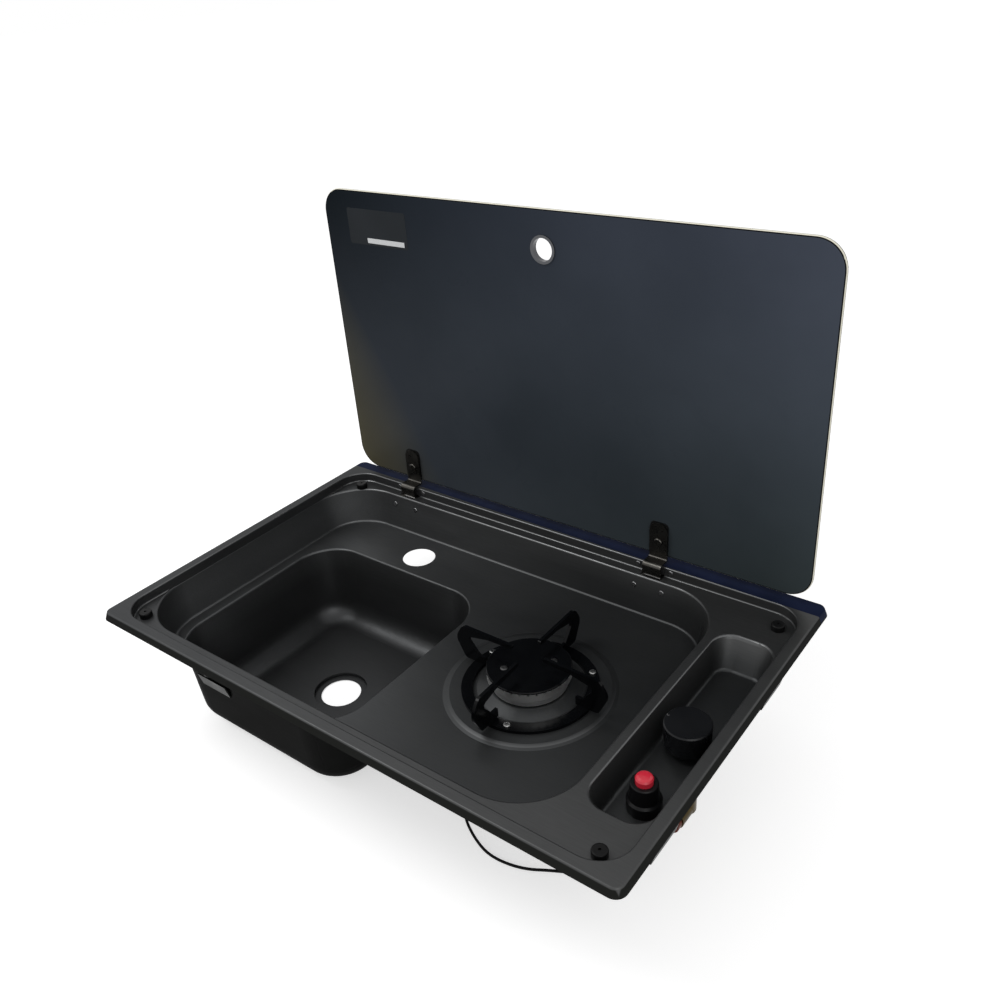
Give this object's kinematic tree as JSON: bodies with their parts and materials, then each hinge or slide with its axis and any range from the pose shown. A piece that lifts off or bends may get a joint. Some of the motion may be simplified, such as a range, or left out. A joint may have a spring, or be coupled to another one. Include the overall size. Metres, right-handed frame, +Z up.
{
  "type": "drop-in sink and burner unit with glass lid",
  "caption": "Pressed steel drop-in caravan sink with a gas burner, a control trough and a hinged flush glass lid.",
  "frame": {"origin": "plan centre of the flange, level with its top face, where the unit drops into a worktop", "axes": "+X along the width towards the control trough, +Y towards the lid's hinges, +Z up"},
  "size_m": [0.595, 0.3765, 0.4814],
  "materials": {
    "steel": "satin pressed stainless steel",
    "bumper_rubber": "matt black",
    "seal_foam": "matt dark grey",
    "spring_steel": "dull spring steel",
    "burner_alloy": "cast",
    "crown_alloy": "turned, satin",
    "brass": "dull brass",
    "copper": "dull copper",
    "black_enamel": "satin black enamel",
    "ceramic": "glazed white ceramic",
    "probe_steel": "bare steel",
    "screw_steel": "bright zinc",
    "knob_plastic": "fine satin black",
    "black_plastic": "satin black",
    "red_plastic": "semi-gloss red",
    "lead_rubber": "smooth black insulation",
    "hinge_steel": "satin stainless steel",
    "rivet_steel": "bright stainless steel",
    "pad_rubber": "thin black rubber",
    "tinted_glass": "dark tinted tempered glass with pale ground edges",
    "grommet_metal": "thin bright ring"
  },
  "bodies": {
    "tray": {"tray_shell": "steel", "lid_bumpers": "bumper_rubber", "flange_seal": "seal_foam", "fixing_clips": "spring_steel", "burner_base": "steel", "burner_body": "burner_alloy", "burner_injector": "brass", "spark_electrode": "ceramic", "thermocouple": "probe_steel", "pan_support": "black_enamel", "support_screws": "screw_steel", "support_nuts": "screw_steel", "valve_spring": "spring_steel", "valve_nut": "screw_steel", "gas_valve_body": "brass", "magnet_unit": "copper", "gas_pipe": "copper", "pipe_nuts": "brass", "inlet_pipe": "copper", "inlet_nut": "brass", "thermocouple_lead": "copper", "igniter_bezel": "black_plastic", "igniter_body": "black_plastic", "igniter_nut": "black_plastic", "igniter_spring": "spring_steel", "igniter_terminal": "brass", "igniter_lead": "lead_rubber", "hinge_pins": "hinge_steel", "hinge_rivets": "rivet_steel", "hinge_bracket_left": "hinge_steel", "hinge_bracket_right": "hinge_steel"},
    "lid": {"hinge_strap_left": "hinge_steel", "hinge_strap_right": "hinge_steel", "strap_pads": "pad_rubber", "strap_screws": "hinge_steel", "lid_discs": "hinge_steel", "glass_lid": "tinted_glass", "lid_grommet": "grommet_metal"},
    "valve_plunger": {"valve_plunger": "brass"},
    "knob": {"burner_knob": "knob_plastic", "valve_spindle": "brass"},
    "igniter_button": {"igniter_button": "red_plastic"},
    "burner_crown": {"burner_crown": "crown_alloy"},
    "burner_cap": {"burner_cap": "black_enamel"}
  },
  "joints": [
    {"name": "lid_hinge", "type": "hinge", "parent": "tray", "child": "lid", "pos_m": [0, 0.171, -0.008], "axis": [1, 0, 0], "range_deg": [0, 90]},
    {"name": "knob_push", "type": "slide", "parent": "tray", "child": "valve_plunger", "axis": [0, 0, -1], "range_m": [0, 0.003], "stiffness_N_per_m": 1500, "springref_m": -0.004, "deforming": ["valve_spring"]},
    {"name": "knob_turn", "type": "hinge", "parent": "valve_plunger", "child": "knob", "pos_m": [0.255, -0.0105, -0.02], "axis": [0, 0, 1], "range_deg": [0, 190]},
    {"name": "igniter_press", "type": "slide", "parent": "tray", "child": "igniter_button", "axis": [0, 0, -1], "range_m": [0, 0.0035], "stiffness_N_per_m": 800, "springref_m": -0.003, "deforming": ["igniter_spring"]},
    {"name": "crown_lift", "type": "slide", "parent": "tray", "child": "burner_crown", "axis": [0, 0, 1], "range_m": [0, 0.0045]},
    {"name": "cap_lift", "type": "slide", "parent": "burner_crown", "child": "burner_cap", "axis": [0, 0, 1], "range_m": [0, 0.0055]}
  ]
}
